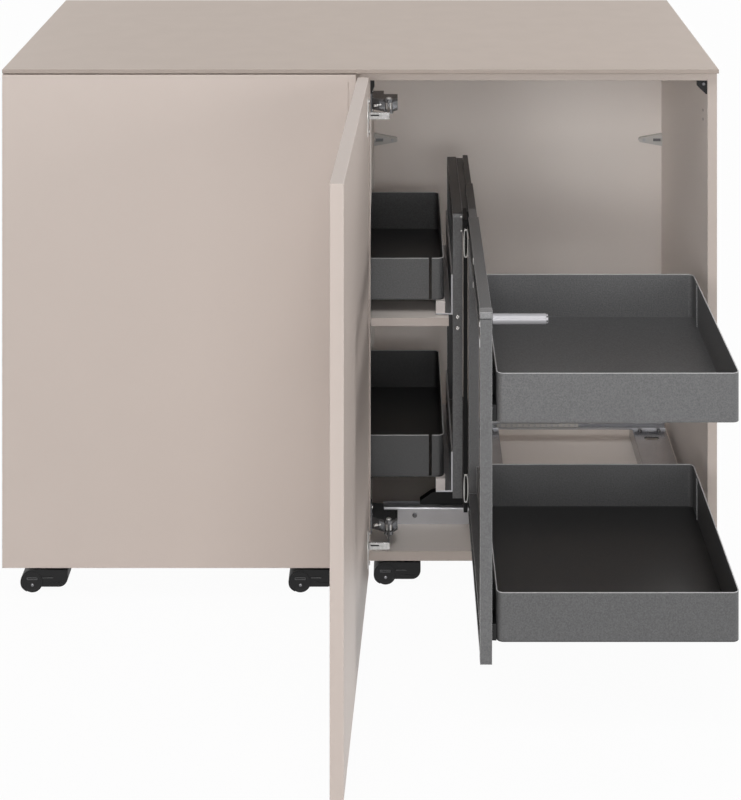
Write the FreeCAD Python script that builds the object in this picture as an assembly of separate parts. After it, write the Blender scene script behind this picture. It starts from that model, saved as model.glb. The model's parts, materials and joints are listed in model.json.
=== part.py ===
import FreeCAD
import Part
import math
import os

# Corner base cabinet on castors: two modules side by side under one worktop.
# The left module is closed by a fixed front. The right one has a door, and behind
# it a pull-out: a front unit with two trays that comes straight out, hung on a
# carriage that then runs sideways and brings two rear trays into the door opening.
# X is to the right, Y to the back, Z up, in millimetres. The pieces are drawn with
# X = 0 on the joint of the two modules, Y = 0 on the carcass front and Z = 0 on the
# floor, in the pose with the door open and the front unit out.

# Carcass, worktop and fronts
module_width = 600.0
carcass_depth = 560.0
cabinet_height = 900.0
board = 16.0
worktop_thickness = 7.0
worktop_front_reach = 20.0
worktop_back_reach = 20.0
worktop_edge = 1.0
castor_height = 68.0
front_thickness = 19.0
front_edge = 0.8
front_top_gap = 2.0
front_drop = 3.0
front_joint = 3.0
door_past_joint = 5.0
door_air = 1.5
groove_inset = 11.5
groove_width = 1.2
groove_depth = 1.0
groove_top = 13.0
cutout_front = 56.0
cutout_back = 56.0
cutout_low = 120.0
cutout_high = 640.0

# Shelf of the left module, which passes through the cut-outs of the inner sides
shelf_top = 455.0
shelf_thickness = 14.0
shelf_front = 60.0
shelf_back_air = 4.0
shelf_right = 150.0
shelf_pin_r = 2.5
shelf_pin_length = 18.0
shelf_pin_inset = 37.0
shelf_angle_leg = 30.0
shelf_angle_sheet = 2.0

# Wall brackets in the back corners and gussets in the front corners
bracket_width = 46.0
bracket_height = 24.0
bracket_depth = 10.0
bracket_tip_r = 4.5
bracket_level = 633.0
bracket_slot_inset = 3.0
bracket_slot_width = 15.0
bracket_slot_height = 6.0
gusset_width = 7.0
gusset_drop = 24.0
gusset_length = 12.0
gusset_inset = 4.0

# Door hinges: cups in the door, arms on the inner side, one link for each
door_open_deg = 92.3
pivot_side = 8.0
pivot_front = 8.4
hinge_from_end = 58.0
cup_r = 17.5
cup_depth = 11.5
cup_wall = 1.2
cup_inset = 22.5
cup_air = 0.1
flange_thickness = 1.0
flange_height = 62.0
flange_width = 16.0
plate_thickness = 2.5
plate_front = 20.0
plate_length = 44.0
plate_height = 50.0
plate_screw_r = 2.5
plate_screw_spacing = 32.0
arm_reach = 31.0
arm_setback = 7.0
arm_length = 62.0
arm_height = 20.0
arm_root_width = 20.0
arm_nose_r = 8.0
damper_reach = 15.0
damper_back = 38.0
fork_height = 24.0
link_height = 11.0
link_r = 6.0
link_thickness = 4.0
link_aside = 0.3
link_room = 15.0
pin_r = 2.0
pin_air = 0.05

# Castors: top plates, swivel housings and twin wheels
castor_inset_left = 79.5
castor_inset_right = 65.0
castor_inset_front = 46.0
castor_right_setback = 26.0
castor_plate = 40.0
castor_plate_thickness = 2.5
castor_trail = 38.0
wheel_r = 18.0
wheel_width = 10.0
wheel_edge = 2.5
hub_r = 5.0
hub_proud = 1.0
rim_r = 13.0
rim_recess = 1.5
axle_r = 3.0
axle_air = 0.05
web_width = 8.0
web_air = 0.6
bearing_r = 8.0
hood_thickness = 1.5
hood_air = 1.0
cheek = 2.0
cheek_air = 0.5
cheek_rise = 1.0
groove_length = 20.0
groove_height = 4.5
line_length = 27.0
line_height = 1.5
groove_depth = 0.8
hood_to_deg = 205.0
body_clearance = 10.0
body_front = 22.0
body_corner = 15.0
body_edge = 3.0
stem_r = 5.0
stem_air = 0.05
stem_boss_r = 12.0
stem_rise = 9.0
stem_socket_air = 1.0
swivel_air = 0.3

# Base of the pull-out: front rail, rear rail and two bridge plates
rail_left = 37.0
rail_right_air = 24.0
rail_front = 96.0
rail_width = 26.0
rail_height = 29.0
rail_slot_inset = 11.0
rail_slot_width = 11.0
rail_slot_depth = 14.0
rail_edge = 3.0
bridge_width = 63.0
bridge_left = 191.0
bridge_right_air = 12.0
bridge_height = 31.5
bridge_sheet = 2.5
bridge_length = 330.0
bridge_slot_length = 28.0
bridge_slot_width = 14.0
bridge_hole_r = 3.0
bridge_hole_spacing = 36.0
rear_rail_left = 100.0
rear_rail_back = 424.0
rear_rail_width = 16.0
rear_rail_height = 15.5
rear_rail_sheet = 1.5
rear_rail_lip = 2.0

# Carriage: shoe on the front rail, slider in the rear rail, frame on both
carriage_left = 157.0
carriage_width = 17.0
carriage_front = 74.0
carriage_depth = 359.0
carriage_bottom = 139.0
carriage_top = 630.0
carriage_post = 18.0
carriage_rail = 32.0
carriage_corner = 8.0
shoe_left_reach = 56.0
shoe_nose = 20.0
shoe_right_reach = 2.0
shoe_nose_height = 6.0
shoe_front = 107.0
shoe_depth = 14.5
slider_left = 110.0
slider_length = 100.0
slider_foot = 3.0
slide_air = 0.5
shoe_air = 0.3

# Telescopic runners: bars on the carriage, joined by a post, then middle channels
runner_level_low = 157.0
runner_level_high = 618.0
runner_sheet = 1.5
runner_lip = 5.0
bar_front = 85.0
bar_length = 331.0
guide_post = 14.0
middle_length = 380.0
middle_near = -155.0

# Front unit
front_left = 182.0
front_width = 17.5
front_near = -424.0
front_length = 446.0
front_top = 640.0
front_bottom = 127.0
front_post = 17.5
front_channel = 44.0
cap_height = 9.0
cap_rim = 0.8
tray_bar = 4.5
tray_bar_height = 40.0
handle_r = 8.0
handle_length = 81.0
handle_level = 627.0
handle_end = 3.0
handle_end_step = 1.0
catch_sheet = 2.0
catch_height = 48.0
catch_rim = 1.5
catch_drop = 16.0

# Trays
tray_wall = 1.5
tray_height = 72.0
tray_corner = 10.0
front_tray_gap = 6.5
front_tray_right_air = 24.0
front_tray_far = -2.0
tray_level_high = 479.5
front_tray_level_low = 160.0
rear_tray_level_low = 174.0
rear_tray_left = -228.0
rear_tray_right = 142.0
rear_tray_front = 79.0
rear_tray_depth = 384.0
rear_slot_left = 116.0
rear_slot_width = 5.0
rear_slot_foot = 1.5
hook_width = 20.0
hook_rise = 24.0
hook_height = 32.0
hook_from_end = 24.0
hook_notch = 6.0
carrier_sheet = 2.5
carrier_rise = 69.0
carrier_drop = 23.0
carrier_flange = 29.0
carrier_front_reach = 7.0
clip_width = 16.0
clip_length = 20.0
clip_right_air = 13.0

# Derived places
V = FreeCAD.Vector
RIGHT = V(1, 0, 0)
BACK = V(0, 1, 0)
UP = V(0, 0, 1)
carcass_top = cabinet_height - worktop_thickness
floor_top = castor_height + board
ceiling = carcass_top - board
back_face = carcass_depth - board
front_low = castor_height - front_drop
front_high = carcass_top - front_top_gap
door_left = -door_past_joint
door_inner = -door_air
door_outer = door_inner - front_thickness
pivot = V(door_left - pivot_side, door_outer - pivot_front, 0)
cup_x = door_left + cup_inset
cup_pin = V(cup_x, door_inner - pin_r, 0)
hinge_levels = (front_low + hinge_from_end, front_high - hinge_from_end)
link_pivot = V(board + arm_reach, arm_setback, 0)
carriage_right = carriage_left + carriage_width
carriage_back = carriage_front + carriage_depth
front_right = front_left + front_width
front_far = front_near + front_length
guide_front = front_far
inner_right = module_width - board
rail_right = inner_right - rail_right_air
bridge_right = inner_right - bridge_right_air
front_tray_right = inner_right - front_tray_right_air
tray_left = front_right + front_tray_gap
runner_levels = (runner_level_low, runner_level_high)
bar_half = front_channel / 2 - 2 * (runner_sheet + slide_air)
guide_right = front_left - cap_rim - slide_air


def opened(shape):
    """Turns a piece drawn on the closed door to where it is on the open door."""
    return shape.rotate(pivot, UP, -door_open_deg)


def opened_point(point):
    turn = FreeCAD.Rotation(UP, -door_open_deg)
    return pivot + turn.multVec(point - pivot)


# The origin is on the floor, below the middle of the box round the whole object.
door_near = opened_point(V(module_width, door_inner, 0)).y
origin_y = (door_near + carcass_depth + worktop_back_reach) / 2


def box(x0, x1, y0, y1, z0, z1):
    return Part.makeBox(x1 - x0, y1 - y0, z1 - z0, V(x0, y0, z0))


def prism(points, along):
    return Part.Face(Part.makePolygon(points + points[:1])).extrude(along)


def upright(x, y, z0, z1, radius):
    return Part.makeCylinder(radius, z1 - z0, V(x, y, z0))


def joined(shapes):
    return shapes[0].fuse(shapes[1:]).removeSplitter()


def rounded_block(x0, x1, y0, y1, z0, z1, radius):
    """A block with its four upright edges rounded."""
    block = box(x0, x1, y0, y1, z0, z1)
    uprights = [e for e in block.Edges if abs(e.tangentAt(e.FirstParameter).z) > 0.5]
    return block.makeFillet(radius, uprights)


def save(node, *solids):
    shape = solids[0] if len(solids) == 1 else Part.makeCompound(list(solids))
    shape = shape.copy()
    shape.translate(V(0, -origin_y, 0))
    shape.exportStep(os.path.join("parts", node + ".step"))


def worktop():
    block = box(-module_width, module_width, -worktop_front_reach,
                carcass_depth + worktop_back_reach, carcass_top, cabinet_height)
    return block.makeFillet(worktop_edge, block.Edges)


def castor_places(module_left):
    """Swivel axes of one module's four castors, front row first."""
    xs = (module_left + castor_inset_left, module_left + module_width - castor_inset_right)
    front = castor_inset_front + (castor_right_setback if module_left >= 0 else 0)
    ys = (front, carcass_depth - castor_inset_front)
    return [(x, y) for y in ys for x in xs]


def floor_board(left, right, module_left):
    """Bottom of a module, with a blind socket over each castor stem."""
    panel = box(left, right, 0, carcass_depth, castor_height, floor_top)
    depth = stem_rise + stem_socket_air
    sockets = [upright(x, y, castor_height, castor_height + depth, stem_r + stem_socket_air)
               for x, y in castor_places(module_left)]
    return panel.cut(sockets)


def inner_side(left):
    """Side between the modules, cut out where the shelf and the rear trays pass."""
    panel = box(left, left + board, 0, carcass_depth, castor_height, carcass_top)
    opening = box(left, left + board, cutout_front, carcass_depth - cutout_back - board,
                  cutout_low, cutout_high)
    return panel.cut(opening)


def fixed_front():
    """Front of the closed module, with a fine groove along its edge by the door."""
    right = door_left - front_joint
    panel = box(-module_width, right, -front_thickness, 0, front_low, front_high)
    rim = [e for e in panel.Edges if max(v.Y for v in e.Vertexes) < -front_thickness / 2]
    panel = panel.makeFillet(front_edge, rim)
    groove = box(right - groove_inset - groove_width, right - groove_inset,
                 -front_thickness, groove_depth - front_thickness,
                 front_low, front_high - groove_top)
    return panel.cut(groove)


def door_panel():
    """Door, drawn closed, with bores for the hinge cups, then opened."""
    panel = box(door_left, module_width, door_outer, door_inner, front_low, front_high)
    panel = panel.makeFillet(front_edge, panel.Edges)
    bores = [Part.makeCylinder(cup_r + cup_air, cup_depth + cup_air,
                               V(cup_x, door_inner, z), -BACK) for z in hinge_levels]
    return opened(panel.cut(bores))


def hinge_cup(z):
    """Cup with its flange on the door's inner face, and the pin across its mouth."""
    body = Part.makeCylinder(cup_r, cup_depth, V(cup_x, door_inner, z), -BACK)
    hollow = Part.makeCylinder(cup_r - cup_wall, cup_depth - cup_wall + flange_thickness,
                               V(cup_x, door_inner + flange_thickness, z), -BACK)
    flange = box(cup_x, cup_x + flange_width, door_inner, door_inner + flange_thickness,
                 z - flange_height / 2, z + flange_height / 2)
    collar = Part.makeCylinder(cup_r + cup_wall, flange_thickness, V(cup_x, door_inner, z), BACK)
    reach = cup_r - cup_wall / 2
    pin = upright(cup_pin.x, cup_pin.y, z - reach, z + reach, pin_r)
    return opened(joined([joined([body, flange, collar]).cut(hollow), pin]))


def hinge_plate(z):
    """Cross-shaped mounting plate screwed to the inner side."""
    x1 = board + plate_thickness
    middle = plate_front + plate_length / 2
    along = box(board, x1, plate_front, plate_front + plate_length,
                z - arm_height / 2, z + arm_height / 2)
    across = box(board, x1, middle - arm_height / 2, middle + arm_height / 2,
                 z - plate_height / 2, z + plate_height / 2)
    cross = joined([along, across])
    screws = [Part.makeCylinder(plate_screw_r, plate_thickness,
                                V(board, middle, z + side * plate_screw_spacing / 2), RIGHT)
              for side in (-1, 1)]
    return cross.cut(screws)


def hinge_arm(z):
    """Arm on its plate with the damper beside it, and a fork with the link's pin."""
    x0 = board + plate_thickness
    nose = link_pivot
    back = arm_setback + arm_length
    right = nose.x + damper_reach
    outline = [V(x0, plate_front, 0), V(x0, back, 0), V(x0 + arm_root_width, back, 0),
               V(x0 + arm_root_width, nose.y + damper_back, 0), V(right, nose.y + damper_back, 0),
               V(right, nose.y + arm_nose_r, 0), V(nose.x + arm_nose_r, nose.y, 0),
               V(nose.x - arm_nose_r, nose.y, 0)]
    slab = prism([p + UP * (z - arm_height / 2) for p in outline], UP * arm_height)
    fork = upright(nose.x, nose.y, z - fork_height / 2, z + fork_height / 2, arm_nose_r)
    gap_r = link_r + slide_air
    gap_half = link_height / 2 + slide_air
    room = box(nose.x - arm_nose_r * 2, right, nose.y - arm_nose_r * 2, nose.y + gap_r,
               z - gap_half, z + gap_half)
    swing = box(nose.x, right, nose.y, nose.y + link_room, z - gap_half, z + gap_half)
    pin = upright(nose.x, nose.y, z - fork_height / 2, z + fork_height / 2, pin_r)
    return joined([joined([slab, fork]).cut([room, swing]), pin])


def hinge_link(z):
    """Cranked link: out from the pin of the open door's cup, then back to the fork's pin."""
    cup_end = opened_point(cup_pin)
    half = link_thickness / 2
    tip_x = cup_end.x + pin_r + link_aside + half
    z0 = z - link_height / 2
    z1 = z0 + link_height
    nose = link_pivot
    knuckle = upright(nose.x, nose.y, z0, z1, link_r)
    shank = box(nose.x - half, nose.x + half, cup_end.y, nose.y, z0, z1)
    elbow = upright(nose.x, cup_end.y, z0, z1, half)
    across = box(tip_x, nose.x, cup_end.y - half, cup_end.y + half, z0, z1)
    tip = upright(tip_x, cup_end.y, z0, z1, half)
    bore = upright(nose.x, nose.y, z0, z1, pin_r + pin_air)
    return joined([knuckle, shank, elbow, across, tip]).cut(bore)


def wall_bracket(x, side):
    """Tapered hanger in a back corner: x is the side board's face, side points inward."""
    half = bracket_height / 2
    front = back_face - bracket_depth
    tip_x = x + side * (bracket_width - bracket_tip_r)
    taper = [V(x, front, bracket_level - half), V(x, front, bracket_level + half),
             V(tip_x, front, bracket_level + bracket_tip_r),
             V(tip_x, front, bracket_level - bracket_tip_r)]
    tip = Part.makeCylinder(bracket_tip_r, bracket_depth, V(tip_x, front, bracket_level), BACK)
    middle = x + side * (bracket_slot_inset + bracket_slot_width / 2)
    slot = box(middle - bracket_slot_width / 2, middle + bracket_slot_width / 2,
               front, back_face - bracket_depth / 2,
               bracket_level - bracket_slot_height / 2, bracket_level + bracket_slot_height / 2)
    return joined([prism(taper, BACK * bracket_depth), tip]).cut(slot)


def corner_gusset(x, side):
    """Triangular block under the top board in a front corner."""
    corner = [V(x, gusset_inset, ceiling), V(x + side * gusset_width, gusset_inset, ceiling),
              V(x, gusset_inset, ceiling - gusset_drop)]
    return prism(corner, BACK * gusset_length)


def shelf_back():
    return carcass_depth - cutout_back - board - shelf_back_air


def shelf_supports():
    """Pins in the outer side, and angles on the cut-out's edges under the shelf."""
    under = shelf_top - shelf_thickness
    wall = board - module_width
    ys = (shelf_front + shelf_pin_inset, shelf_back() - shelf_pin_inset)
    pins = [Part.makeCylinder(shelf_pin_r, shelf_pin_length, V(wall, y, under - shelf_pin_r), RIGHT)
            for y in ys]
    angles = []
    for edge, into in ((cutout_front, 1), (carcass_depth - cutout_back - board, -1)):
        profile = [V(-board, edge, under), V(-board, edge + into * shelf_angle_leg, under),
                   V(-board, edge + into * shelf_angle_leg, under - shelf_angle_sheet),
                   V(-board, edge + into * shelf_angle_sheet, under - shelf_angle_sheet),
                   V(-board, edge + into * shelf_angle_sheet, under - shelf_angle_leg),
                   V(-board, edge, under - shelf_angle_leg)]
        angles.append(prism(profile, RIGHT * 2 * board))
    return pins + angles


def castor_top(x, y):
    """Square top plate with the hole that the swivel stem turns in."""
    half = castor_plate / 2
    plate = rounded_block(x - half, x + half, y - half, y + half,
                          castor_height - castor_plate_thickness, castor_height, half / 4)
    hole = upright(x, y, castor_height - castor_plate_thickness, castor_height, stem_r + stem_air)
    return plate.cut(hole)


def castor_housing(x, y):
    """Swivel housing: stem and boss, moulded body, hood and cheeks round the wheels, web."""
    axle_x = x - castor_trail
    boss_top = castor_height - castor_plate_thickness - swivel_air
    hood_in = wheel_r + hood_air
    hood_out = hood_in + hood_thickness
    hood_top = wheel_r + hood_out
    room = web_air + wheel_width + hub_proud + cheek_air
    width = web_width + 2 * (room + cheek)
    y0 = y - width / 2
    start = V(axle_x, y0, wheel_r)
    block = box(axle_x, x + body_front, y0, y0 + width, body_clearance, hood_top)
    ends = [e for e in block.Edges if min(v.X for v in e.Vertexes) > x]
    block = block.makeFillet(body_corner, [e for e in ends if e.BoundBox.ZMax < wheel_r])
    ends = [e for e in block.Edges if min(v.X for v in e.Vertexes) > x]
    block = block.makeFillet(body_edge, [e for e in ends if e.BoundBox.ZMin > wheel_r + hood_in])
    shell = Part.makeCylinder(hood_out, width, start, BACK)
    turn = math.radians(hood_to_deg)
    far = 2 * hood_out
    sector = [start, start + V(0, 0, far), start + V(-far, 0, far),
              start + V(far * math.cos(turn), 0, far * math.sin(turn))]
    hood = shell.common(prism(sector, BACK * width))
    disc = Part.makeCylinder(wheel_r - cheek_rise, width, start, BACK)
    rooms = [Part.makeCylinder(hood_in, room, V(axle_x, side, wheel_r), BACK)
             for side in (y0 + cheek, y + web_width / 2)]
    grooves = []
    for side in (y0, y0 + width - groove_depth):
        grooves.append(box(axle_x - groove_length / 2, axle_x + groove_length / 2, side,
                           side + groove_depth, wheel_r - groove_height / 2, wheel_r + groove_height / 2))
        grooves.append(box(x - line_length / 2, x + line_length / 2, side, side + groove_depth,
                           wheel_r - line_height / 2, wheel_r + line_height / 2))
    web_start = V(axle_x, y - web_width / 2, wheel_r)
    bearing = Part.makeCylinder(bearing_r, web_width, web_start, BACK)
    boss = upright(x, y, hood_top, boss_top, stem_boss_r)
    stem = upright(x, y, boss_top, castor_height + stem_rise, stem_r)
    body = joined([joined([block, hood, disc]).cut(rooms + grooves), bearing, boss, stem])
    return body.cut(Part.makeCylinder(axle_r + axle_air, web_width, web_start, BACK))


def castor_wheels(x, y):
    """Two wheels with rounded edges, sunk rims and proud hubs on one axle."""
    axle_x = x - castor_trail
    inner = web_width / 2 + web_air
    pieces = [Part.makeCylinder(axle_r, 2 * inner, V(axle_x, y - inner, wheel_r), BACK)]
    for side in (-1, 1):
        out = BACK * side
        middle = V(axle_x, y, wheel_r)
        wheel = Part.makeCylinder(wheel_r, wheel_width, middle + out * inner, out)
        wheel = wheel.makeFillet(wheel_edge, [e for e in wheel.Edges if len(e.Vertexes) == 1])
        face = middle + out * (inner + wheel_width)
        wheel = wheel.cut(Part.makeCylinder(rim_r, rim_recess, face, -out))
        hub = Part.makeCylinder(hub_r, rim_recess + hub_proud, face - out * rim_recess, out)
        pieces += [wheel, hub]
    return joined(pieces)


def front_rail():
    """Rail along X on the floor board, with the slot in which the shoe's keel runs."""
    z1 = floor_top + rail_height
    bar = box(rail_left, rail_right, rail_front, rail_front + rail_width, floor_top, z1)
    top_edges = [e for e in bar.Edges if min(v.Z for v in e.Vertexes) > z1 - 1
                 and abs(e.tangentAt(e.FirstParameter).x) > 0.5]
    bar = bar.makeFillet(rail_edge, top_edges)
    slot_front = rail_front + rail_slot_inset
    slot = box(rail_left, rail_right, slot_front, slot_front + rail_slot_width,
               z1 - rail_slot_depth, z1)
    return bar.cut(slot)


def bridge_plate(left):
    """Folded plate from the front rail to under the rear rail, with a slot and holes."""
    y0 = rail_front + rail_width
    y1 = y0 + bridge_length
    z1 = floor_top + bridge_height
    right = left + bridge_width
    channel = box(left, right, y0, y1, floor_top, z1)
    channel = channel.cut(box(left + bridge_sheet, right - bridge_sheet, y0, y1,
                              floor_top, z1 - bridge_sheet))
    middle = left + bridge_width / 2
    z0 = z1 - bridge_sheet
    slot_back = rear_rail_back - rear_rail_width - bridge_width / 2
    slot = rounded_block(middle - bridge_slot_length / 2, middle + bridge_slot_length / 2,
                         slot_back - bridge_slot_width, slot_back, z0, z1, bridge_slot_width * 0.499)
    hole_back = rear_rail_back - rear_rail_width - 2 * bridge_hole_r
    places = [(middle, y0 + bridge_width / 2),
              (middle - bridge_hole_spacing / 2, hole_back), (middle + bridge_hole_spacing / 2, hole_back)]
    return channel.cut([slot] + [upright(x, y, z0, z1, bridge_hole_r) for x, y in places])


def rear_rail():
    """Channel along X on the bridge plates, open to the front, with lips."""
    z0 = floor_top + bridge_height
    z1 = z0 + rear_rail_height
    y1 = rear_rail_back
    y0 = y1 - rear_rail_width
    t = rear_rail_sheet
    x0 = rear_rail_left
    x1 = bridge_right
    block = box(x0, x1, y0, y1, z0, z1)
    room = box(x0, x1, y0 + t, y1 - t, z0 + t, z1 - t)
    mouth = box(x0, x1, y0, y0 + t, z0 + t + rear_rail_lip, z1 - t - rear_rail_lip)
    return block.cut([room, mouth])


def rear_slider():
    """Runner inside the rear rail, with a foot that carries the carriage's back post."""
    z0 = floor_top + bridge_height + rear_rail_sheet + slide_air
    z1 = floor_top + bridge_height + rear_rail_height - rear_rail_sheet - slide_air
    y1 = rear_rail_back - rear_rail_sheet - slide_air
    y0 = rear_rail_back - rear_rail_width
    x0 = slider_left
    x1 = slider_left + slider_length
    neck0 = z0 + rear_rail_lip
    neck1 = z1 - rear_rail_lip
    upright_front = y0 - rear_rail_width / 2
    head = box(x0, x1, y0 + rear_rail_sheet + slide_air, y1, z0, z1)
    neck = box(x0, x1, upright_front, y1, neck0, neck1)
    web = box(x0, carriage_right, upright_front, upright_front + slider_foot, neck0, carriage_bottom)
    foot = box(x0, carriage_right, upright_front, carriage_back, carriage_bottom - slider_foot,
               carriage_bottom)
    return joined([head, neck, web, foot])


def carriage_frame():
    """Upright loop along Y, standing on the shoe and on the slider."""
    outer = box(carriage_left, carriage_right, carriage_front, carriage_back,
                carriage_bottom, carriage_top)
    edges = [e for e in outer.Edges if abs(e.tangentAt(e.FirstParameter).x) > 0.5
             and min(v.Z for v in e.Vertexes) > carriage_top - 1]
    outer = outer.makeFillet(carriage_corner, edges)
    opening = box(carriage_left, carriage_right, carriage_front + carriage_post,
                  carriage_back - carriage_post, carriage_bottom + carriage_rail,
                  carriage_top - carriage_rail)
    return outer.cut(opening)


def carriage_shoe():
    """Black glide block on the front rail: sloped nose, flat seat, keel in the slot."""
    x0 = carriage_left - shoe_left_reach
    x1 = carriage_right + shoe_right_reach
    z0 = floor_top + rail_height + shoe_air
    z1 = carriage_bottom
    side = [V(x0, shoe_front, z0), V(x1, shoe_front, z0), V(x1, shoe_front, z1),
            V(x0 + shoe_nose * 2, shoe_front, z1), V(x0 + shoe_nose, shoe_front, z1 - shoe_nose_height),
            V(x0, shoe_front, z0 + shoe_nose_height)]
    body = prism(side, BACK * shoe_depth)
    slot_front = rail_front + rail_slot_inset
    keel = box(x0 + shoe_nose, x1, slot_front + slide_air, slot_front + rail_slot_width - slide_air,
               floor_top + rail_height - rail_slot_depth + slide_air, z0)
    return joined([body, keel])


def runner_bar(z):
    """Inner bar of a runner, its foot on the carriage frame."""
    inset = runner_sheet + slide_air
    stem_half = bar_half - runner_lip - slide_air
    neck_end = front_left + 2 * inset
    head_end = front_right - 2 * inset
    y1 = bar_front + bar_length
    stem = box(carriage_right, neck_end, bar_front, y1, z - stem_half, z + stem_half)
    head = box(neck_end, head_end, bar_front, y1, z - bar_half, z + bar_half)
    return joined([stem, head])


def lipped_channel(x0, x1, y0, y1, z, half):
    """Channel along Y, open to the left between two lips."""
    t = runner_sheet
    block = box(x0, x1, y0, y1, z - half, z + half)
    room = box(x0 + t, x1 - t, y0, y1, z - half + t, z + half - t)
    mouth_half = half - t - runner_lip
    mouth = box(x0, x0 + t, y0, y1, z - mouth_half, z + mouth_half)
    return block.cut([room, mouth])


def runner_middle(z):
    """Middle channel of a runner, between the carriage's bar and the front unit."""
    inset = runner_sheet + slide_air
    return lipped_channel(front_left + inset, front_right - inset, middle_near,
                          middle_near + middle_length, z, front_channel / 2 - inset)


def front_frame():
    """Frame of the front unit: two channels, two posts and the bars for the trays."""
    low_top = runner_level_low + front_channel / 2
    high_low = runner_level_high - front_channel / 2
    near_end = front_near + front_post
    pieces = [box(front_left, front_right, front_near, near_end, front_bottom, front_top - cap_height),
              box(front_left, front_right, front_far - front_post, front_far, low_top, high_low)]
    for z in runner_levels:
        pieces.append(lipped_channel(front_left, front_right, near_end, front_far, z, front_channel / 2))
    for level in (front_tray_level_low, tray_level_high):
        low = level + hook_rise
        pieces.append(box(front_right - tray_bar, front_right, near_end, front_far,
                          low, low + tray_bar_height))
    return joined(pieces)


def post_cap():
    """Cap that closes the near post of the front unit."""
    return rounded_block(front_left - cap_rim, front_right + cap_rim, front_near - cap_rim,
                         front_near + front_post - cap_rim, front_top - cap_height, front_top,
                         2 * cap_rim)


def handle():
    """Round bar with a stepped end, screwed to the near post and pointing right."""
    y = front_near + front_post / 2
    bar = Part.makeCylinder(handle_r, handle_length - handle_end,
                            V(front_right + cap_rim, y, handle_level), RIGHT)
    end = Part.makeCylinder(handle_r - handle_end_step, handle_end,
                            V(front_right + cap_rim + handle_length - handle_end, y, handle_level), RIGHT)
    return joined([bar, end])


def tray(x0, x1, y0, y1, z0):
    """Open sheet tray with rounded upright corners."""
    t = tray_wall
    outer = rounded_block(x0, x1, y0, y1, z0, z0 + tray_height, tray_corner)
    inner = rounded_block(x0 + t, x1 - t, y0 + t, y1 - t, z0 + t, z0 + tray_height, tray_corner - t)
    return outer.cut(inner)


def front_tray(z0):
    return tray(tray_left, front_tray_right, front_near, front_tray_far, z0)


def rear_tray(z0):
    """Rear tray, with an upright slot in its front wall by the carriage."""
    body = tray(rear_tray_left, rear_tray_right, rear_tray_front,
                rear_tray_front + rear_tray_depth, z0)
    slot = box(rear_slot_left, rear_slot_left + rear_slot_width, rear_tray_front,
               rear_tray_front + tray_wall, z0 + rear_slot_foot, z0 + tray_height)
    return body.cut(slot)


def tray_hooks(z0):
    """Two notched hooks between a front tray and the bar of the frame."""
    hooks = []
    for y in (front_near + front_post + hook_from_end,
              front_tray_far - hook_from_end - hook_width):
        low = z0 + hook_rise
        block = box(front_right, tray_left, y, y + hook_width, low, low + hook_height)
        notch = box(front_right, front_right + front_tray_gap / 2, y + hook_width / 2 - hook_notch / 2,
                    y + hook_width / 2 + hook_notch / 2, low, low + hook_height / 2)
        hooks.append(block.cut(notch))
    return hooks


def tray_carrier(z0):
    """Bent sheet on the carriage, its flange under the edge of a rear tray."""
    bottom = z0 - carrier_drop
    y0 = rear_tray_front - carrier_front_reach
    y1 = carriage_back
    t = carrier_sheet
    x1 = carriage_left
    angle = [V(x1, y0, bottom), V(x1, y0, bottom + carrier_rise), V(x1 - t, y0, bottom + carrier_rise),
             V(x1 - t, y0, bottom + t), V(x1 - carrier_flange, y0, bottom + t),
             V(x1 - carrier_flange, y0, bottom)]
    return prism(angle, BACK * (y1 - y0))


def tray_clips(z0):
    """White blocks that the tray rests on, on the carrier's flange."""
    bottom = z0 - carrier_drop + carrier_sheet
    x1 = carriage_left - clip_right_air
    y0 = rear_tray_front - carrier_front_reach
    y1 = rear_tray_front + rear_tray_depth - tray_corner
    far = min(y1, carriage_back) - clip_length
    return [box(x1 - clip_width, x1, y, y + clip_length, bottom, z0) for y in (y0, far)]


def guide_frame():
    """C-shaped frame in front of the runner bars: a post with an arm back to each bar."""
    pieces = [box(carriage_right, guide_right, guide_front, guide_front + guide_post,
                  runner_level_low, runner_level_high)]
    for z in runner_levels:
        pieces.append(box(carriage_right, guide_right, guide_front, bar_front, z - bar_half, z + bar_half))
    return joined(pieces)


def end_catch(z0):
    """Bright end catch of a runner on the guide post, a C open to the right."""
    y0 = guide_front - catch_sheet
    z1 = z0 + catch_height
    left = carriage_right + catch_rim / 2
    profile = [V(left, y0, z0), V(guide_right, y0, z0), V(guide_right, y0, z0 + catch_rim),
               V(left + catch_rim, y0, z0 + catch_rim), V(left + catch_rim, y0, z1 - catch_rim),
               V(guide_right, y0, z1 - catch_rim), V(guide_right, y0, z1), V(left, y0, z1)]
    return prism(profile, BACK * catch_sheet)


os.makedirs("parts", exist_ok=True)

save("worktop", worktop())
for side, left in (("left", -module_width), ("right", 0.0)):
    inside = left + board
    outside = left + module_width - board
    save(side + "_bottom", floor_board(inside, outside, left))
    save(side + "_top", box(inside, outside, 0, carcass_depth, ceiling, carcass_top))
    save(side + "_back", box(inside, outside, back_face, carcass_depth, floor_top, ceiling))
save("left_outer_side", box(-module_width, board - module_width, 0, carcass_depth,
                            castor_height, carcass_top))
save("left_inner_side", inner_side(-board))
save("right_inner_side", inner_side(0))
save("right_outer_side", box(module_width - board, module_width, 0, carcass_depth,
                             castor_height, carcass_top))
save("fixed_front", fixed_front())
save("shelf", box(board - module_width, shelf_right, shelf_front, shelf_back(),
                  shelf_top - shelf_thickness, shelf_top))
save("shelf_supports", *shelf_supports())
inner_faces = [(board - module_width, 1), (-board, -1), (board, 1), (module_width - board, -1)]
save("wall_brackets", *[wall_bracket(x, side) for x, side in inner_faces])
save("corner_gussets", *[corner_gusset(x, side) for x, side in inner_faces])

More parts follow.
